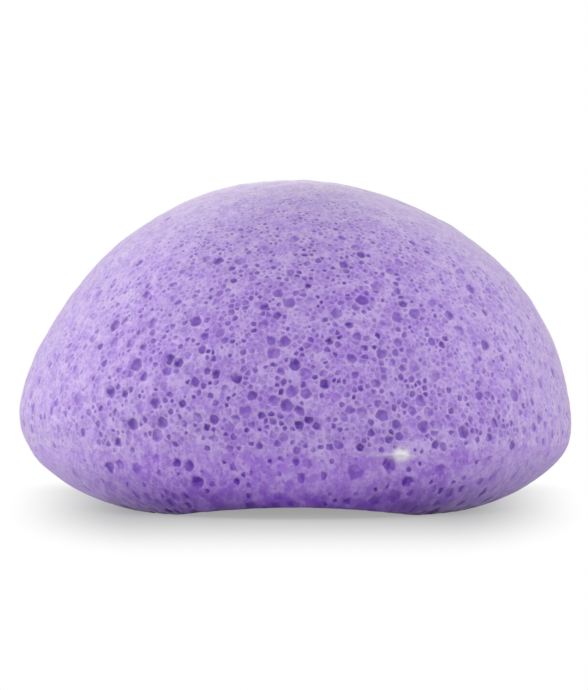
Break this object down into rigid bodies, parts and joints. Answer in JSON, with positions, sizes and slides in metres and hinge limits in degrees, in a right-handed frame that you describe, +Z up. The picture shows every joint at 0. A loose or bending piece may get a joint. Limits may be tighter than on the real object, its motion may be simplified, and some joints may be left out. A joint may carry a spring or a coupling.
{
  "type": "konjac sponge",
  "caption": "Half-ball konjac face sponge: a soft open-cell foam dome on a smooth drawn-in base, which gives when it is pressed.",
  "frame": {"origin": "on the table, under the middle of the sponge", "axes": "+Z up through the crown, -Y towards the front, +X to the right; the underside's arch runs along Y"},
  "size_m": [0.08, 0.08, 0.047],
  "materials": {
    "open_cell_foam": "soft matte lavender konjac foam with open round cells",
    "smooth_foam": "soft matte lavender konjac foam with a closed skin and few cells"
  },
  "bodies": {
    "base": {"smooth_base": "smooth_foam"},
    "dome": {"open_cell_dome": "open_cell_foam"}
  },
  "joints": [
    {"name": "press", "type": "slide", "parent": "base", "child": "dome", "axis": [0, 0, 1], "range_m": [-0.01, 0], "stiffness_N_per_m": 400, "springref_m": 0.0015, "deforming": ["smooth_base"]}
  ]
}
